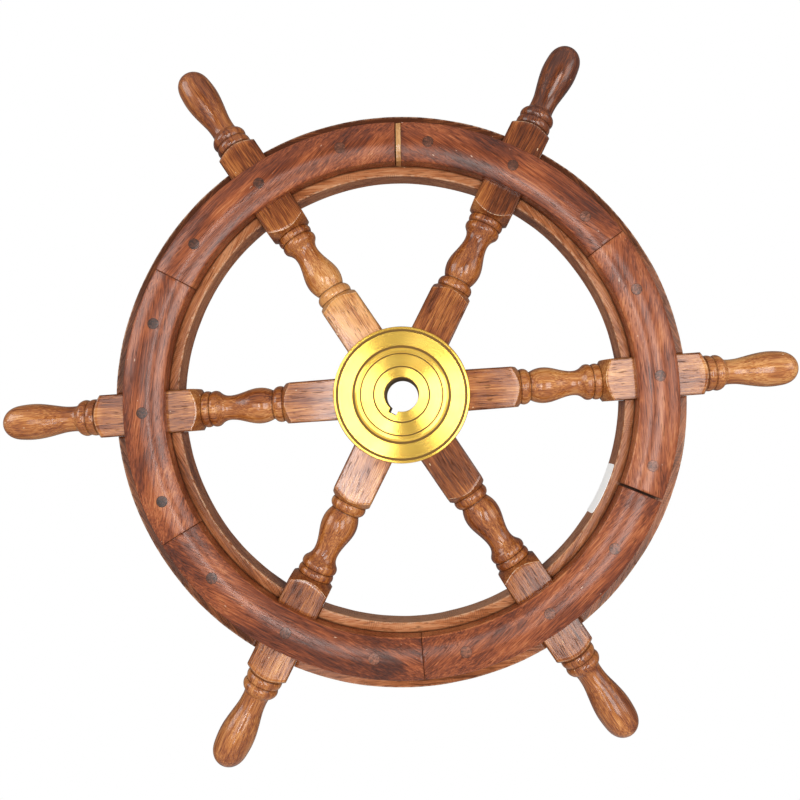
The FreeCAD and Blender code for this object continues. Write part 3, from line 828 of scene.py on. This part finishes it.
def rim_look(piece, top, ends, tone):
    """Wear on a rim piece's top edges, dirt and painted shade in its corners, painted shade in its
    joints and at its ends, and its tone of the wood with painted light and shade.
    """
    radius, level, angle = polar(mesh_points(piece.data))
    height = np.abs(level)
    inner, outer = (wall for wall, _, _ in ends)
    to_wall = np.minimum(radius - inner, outer - radius)
    wear_dirt_and_painted_light = 0.9 * np.clip(1 - np.hypot(to_wall, top - height) / EDGE_WEAR, 0, 1)
    # dirt and painted shade in the inside corners at the front felloes' walls
    for wall in FACING_WALLS:
        from_corner = np.hypot(radius - wall, height - CORE_HALF)
        wear_dirt_and_painted_light -= np.clip(1.2 - from_corner / CORNER_DIRT_AND_SHADE, 0, 1)
    # under the facing ring, the core is painted dark along the joints of the front felloes: painted
    # shade in the gaps
    covered = (radius > FACING_WALLS[0] + MM) & (radius < FACING_WALLS[1] - MM)
    covered &= height < CORE_HALF + TOUCH
    for joint in JOINT_ANGLES:
        from_joint = np.abs((angle - joint + math.pi) % math.tau - math.pi) * radius
        wear_dirt_and_painted_light -= covered * np.clip(2 - from_joint / JOINT_SHADE, 0, 1)
    # painted shade on a felloe's own ends, down in its joints
    for side in (1, 2):
        from_end = np.abs(angle - end_angle(ends, radius, side)) * radius
        wear_dirt_and_painted_light -= 0.7 * np.clip(1 - from_end / END_SHADE, 0, 1)
    # this darkening is deepest at the upper left, where it is painted shade
    upper_left = np.clip(np.sin(angle) - 0.3 * np.cos(angle), 0, 1)
    outside = (radius > FACING_WALLS[1] + HAND_SLACK) * (1 + upper_left)
    # painted light on the core's inner wall, lower down the wheel
    lit_low_wall = (radius < inner + HAND_SLACK) * np.clip(-np.sin(angle), 0, 1)
    tone = tone - OUTSIDE_DARKENING * outside + LOW_WALL_LIGHT * lit_low_wall
    set_finish(piece, np.clip(wear_dirt_and_painted_light, -1, 1), tone, angle * (inner + outer) / 2)


def plank_axes(middle_angle, slant):
    """Grain along the chord of a rim piece, a little off true."""
    along = Vector((-math.sin(middle_angle + slant), 0, math.cos(middle_angle + slant)))
    across = Vector((math.cos(middle_angle + slant), 0, math.sin(middle_angle + slant)))
    return along, across


def butt_gaps(index, inner_wall):
    """How far a middle felloe falls short of its own ends: below zero, to close up to its spokes."""
    wall, start, end = inner_wall
    to_first = wall * math.sin(start - index * PITCH) - HALF_STOCK
    to_last = wall * math.sin((index + 1) * PITCH - end) - HALF_STOCK
    return CLOSE_FIT - to_first, CLOSE_FIT - to_last


def build_core_felloe(index, material, tone):
    """A middle felloe, butted between two spokes."""
    node = "core_felloe_%d" % (index + 1)
    radius, level, angle = polar(node_points(node))
    walls = felloe_ends(radius, angle)
    gaps = butt_gaps(index, walls[0])
    points, faces = felloe_mesh(radius, level, angle, hand_cut=0.35 * MM, seed=index + 1, gaps=gaps)
    piece = add_piece("rim_" + node, points, faces, material, node)
    mend_normals(piece)
    along, across = plank_axes((index + 0.5) * PITCH, 0.05 * math.sin(3.1 * index))
    set_grain(piece, along, across, 1.3 + 0.8 * index, (0.41 * index, 0.09, 0.021 * index))
    ends = [(wall, start + gaps[0] / wall, end - gaps[1] / wall) for wall, start, end in walls]
    rim_look(piece, level.max(), ends, tone)
    finish_piece(piece)


def build_facing_felloe(index, face, side, material, tone):
    """A domed felloe on the front or back, notched over its spoke and bored for its plugs."""
    node = "%s_felloe_%d" % (face, index + 1)
    radius, level, angle = polar(node_points(node))
    seed = 11 + index + 10 * (side < 0)
    gaps = (0, OPEN_JOINT if node == OPENED_FELLOE else 0)
    points, faces = felloe_mesh(radius, level, angle, hand_cut=0.3 * MM, seed=seed, gaps=gaps)
    points[:, 1] += side * FACING_SINK * (1 - math.sin(2.7 * seed))
    piece = add_piece("rim_" + node, points, faces, material, node)
    mend_normals(piece)
    core_half = np.abs(level).min()
    cut_away(piece, facing_cutter(index * PITCH, side, core_half))
    along, across = plank_axes(index * PITCH, -0.25 * math.sin(2.3 * seed))
    set_grain(piece, along, across, 0.5 * seed, (0.29 * seed, 0.11, 0.017 * seed))
    rim_look(piece, np.abs(level).max(), felloe_ends(radius, angle), tone)
    finish_piece(piece)


def build_shim(material):
    """The strip of wood that fills the joint where a front felloe was cut too short."""
    radius, level, angle = polar(node_points("joint_shim"))
    points, faces = felloe_mesh(radius, level, angle, hand_cut=0.15 * MM, seed=31)
    piece = add_piece("shim_strip", points, faces, material, "joint_shim")
    mend_normals(piece)
    middle = (angle.min() + angle.max()) / 2
    across, along = plank_axes(middle, 0)
    set_grain(piece, along, across, 0.4, (0.05, 0.03, 0.02))
    set_finish(piece, 0, 0, 0)
    finish_piece(piece)


def build_label(material):
    """A blank paper label with rounded corners, stuck to the rim's inner wall."""
    radius, level, angle = polar(node_points("blank_label"))
    length = (angle.max() - angle.min()) * radius.mean()
    into_corner = LABEL_CORNER * (1 - np.cos(np.linspace(0, math.pi / 2, 7)))
    middle = np.linspace(LABEL_CORNER, length - LABEL_CORNER, 40)[1:-1]
    travels = np.concatenate([into_corner, middle, length - into_corner[::-1]])
    rows = []
    for travel in travels:
        to_side = max(LABEL_CORNER - min(travel, length - travel), 0)
        cut_in = LABEL_CORNER - math.sqrt(max(LABEL_CORNER ** 2 - to_side ** 2, 0))
        edge = level.max() - cut_in
        turn = angle.min() + travel / radius.mean()
        lift = LABEL_LIFT * (1 - travel / length) ** 6
        heights = np.linspace(-edge, edge, LABEL_STRIPS)
        loop = [(radius.min() - lift, height) for height in heights]
        loop += [(radius.max() - lift, height) for height in heights[::-1]]
        rows += [(reach * math.cos(turn), -height, reach * math.sin(turn)) for reach, height in loop]
    columns = 2 * LABEL_STRIPS
    faces = tube_faces(len(travels), columns)
    faces.append(tuple(range(columns)))
    faces.append(tuple(range(len(rows) - columns, len(rows))))
    piece = add_piece("plain_label", rows, faces, material, "blank_label")
    mend_normals(piece)
    finish_piece(piece)


# ---- studio ----
def soft_light(name, place, width, height, watts):
    """A soft box that shines from a place towards the middle of the wheel."""
    lamp = bpy.data.lights.new(name, "AREA")
    lamp.shape = "RECTANGLE"
    lamp.size = width
    lamp.size_y = height
    lamp.energy = watts
    lamp_object = bpy.data.objects.new(name, lamp)
    bpy.context.scene.collection.objects.link(lamp_object)
    lamp_object.location = place
    lamp_object.rotation_euler = (-Vector(place)).to_track_quat("-Z", "Y").to_euler()
    lamp_object.visible_camera = False


def set_lights():
    """Soft boxes: those in front put the shine on the brass and varnish, two light the sides."""
    soft_light("left_strip", (-0.225, -1.75, -0.08), 0.14, 0.75, 6.0)
    soft_light("low_panel", (-0.34, -1.75, -0.78), 0.25, 0.3, 1.8)
    soft_light("right_box", (0.635, -1.75, -0.20), 0.63, 1.2, 16)
    soft_light("left_panel", (-0.72, -1.75, -0.05), 0.5, 0.9, 4.5)
    soft_light("far_left", (-1.8, -0.9, 0.85), 1.1, 1.1, 14)
    soft_light("far_right", (1.9, -1.2, 0.2), 1.1, 1.1, 9)


def set_world():
    """A studio that looks plain white, but is dimmer to the wheel, and different again to its gloss."""
    world = bpy.data.worlds.new("studio")
    bpy.context.scene.world = world
    world.use_nodes = True
    n = Nodes(world.node_tree)
    ray = n.node("LightPath").outputs
    _, behind, _ = n.split(n.node("TexCoord").outputs["Generated"])
    fill = n.fade(behind, *FILL_RANGE, FRONT_FILL, BACK_FILL, kind="LINEAR")
    greys = [(place, (level, level, level)) for place, level in GLEAM]
    gleam = n.ramp(n.fade(behind, -1.0, 1.0, kind="LINEAR"), *greys)
    cast = n.node("Mix")
    n.put(ray["Is Glossy Ray"], cast.inputs["Factor"])
    n.put(fill, cast.inputs["A"])
    n.put(gleam, cast.inputs["B"])
    background = n.tree.nodes["Background"].inputs
    n.put((1, 1, 1, 1), background["Color"])
    n.put(n.math("MAXIMUM", ray["Is Camera Ray"], cast.outputs["Result"]), background["Strength"])


def set_floor():
    """A plain pale round floor well below the wheel."""
    r = Recipe("floor_plaster")
    place = r.node("TexCoord").outputs["Object"]
    cloud = r.noise(place, (0.4, 0.4, 0.4), 3.0)
    colour = r.ramp(cloud, (0.3, (0.86, 0.86, 0.855)), (0.7, (0.90, 0.90, 0.895)))
    material = r.finish(Base_Color=colour, Roughness=0.8, Normal=r.bump(cloud, 2 * MM))
    rim = [(FLOOR_RADIUS * math.cos(turn), FLOOR_RADIUS * math.sin(turn), FLOOR_LEVEL)
           for turn in np.linspace(0, math.tau, 96, endpoint=False)]
    mesh = bpy.data.meshes.new("floor")
    mesh.from_pydata(rim, [], [tuple(range(len(rim)))])
    mesh.materials.append(material)
    floor = bpy.data.objects.new("floor", mesh)
    bpy.context.scene.collection.objects.link(floor)


def set_camera():
    """Almost square on to the wheel's front, slightly rolled, a little below its centre."""
    camera = bpy.data.cameras.new("camera")
    camera_object = bpy.data.objects.new("camera", camera)
    bpy.context.scene.collection.objects.link(camera_object)
    camera.sensor_width = 36
    camera.lens = CAMERA_LENS
    camera.shift_x, camera.shift_y = CAMERA_SHIFT
    roll, pitch, yaw = (math.radians(angle) for angle in CAMERA_TURN)
    turn = Matrix.Rotation(roll, 3, "Z") @ Matrix.Rotation(pitch, 3, "X") @ Matrix.Rotation(yaw, 3, "Y")
    upright = Matrix(((1, 0, 0), (0, 0, -1), (0, 1, 0)))
    aim = (upright @ turn.transposed()).to_4x4()
    camera_object.matrix_world = Matrix.Translation(CAMERA_PLACE) @ aim
    camera.clip_start = 0.01
    bpy.context.scene.camera = camera_object


bpy.context.scene.view_settings.view_transform = "Standard"
set_camera()
set_world()
set_floor()
set_lights()

spoke_wood = turned_wood()
rim_wood = core_wood()
face_wood = facing_wood()
grid = spoke_grid(turned_outline())
for index in range(SPOKE_COUNT):
    build_spoke(index, grid, spoke_wood, SPOKE_TONES_AND_SHEEN[index])
    build_core_felloe(index, rim_wood, CORE_TONES_AND_LIGHT[index])
    build_facing_felloe(index, "front", 1, face_wood, FRONT_TONES[index])
    build_facing_felloe(index, "back", -1, face_wood, BACK_TONES[index])
build_shim(shim_wood())
build_label(label_paper())

front_brass = hub_brass("front_brass_visual", face_grooves())
back_brass = hub_brass("back_brass_visual", [])
dowels = plug_wood()
steel = screw_steel()
carried_over = {"hub_front": front_brass, "hub_back": back_brass, "hub_screws": back_brass,
                "front_plugs": dowels, "back_plugs": dowels,
                "front_rim_screws": steel, "back_rim_screws": steel}
for node, material in carried_over.items():
    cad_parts[node].material_slots[0].material = material
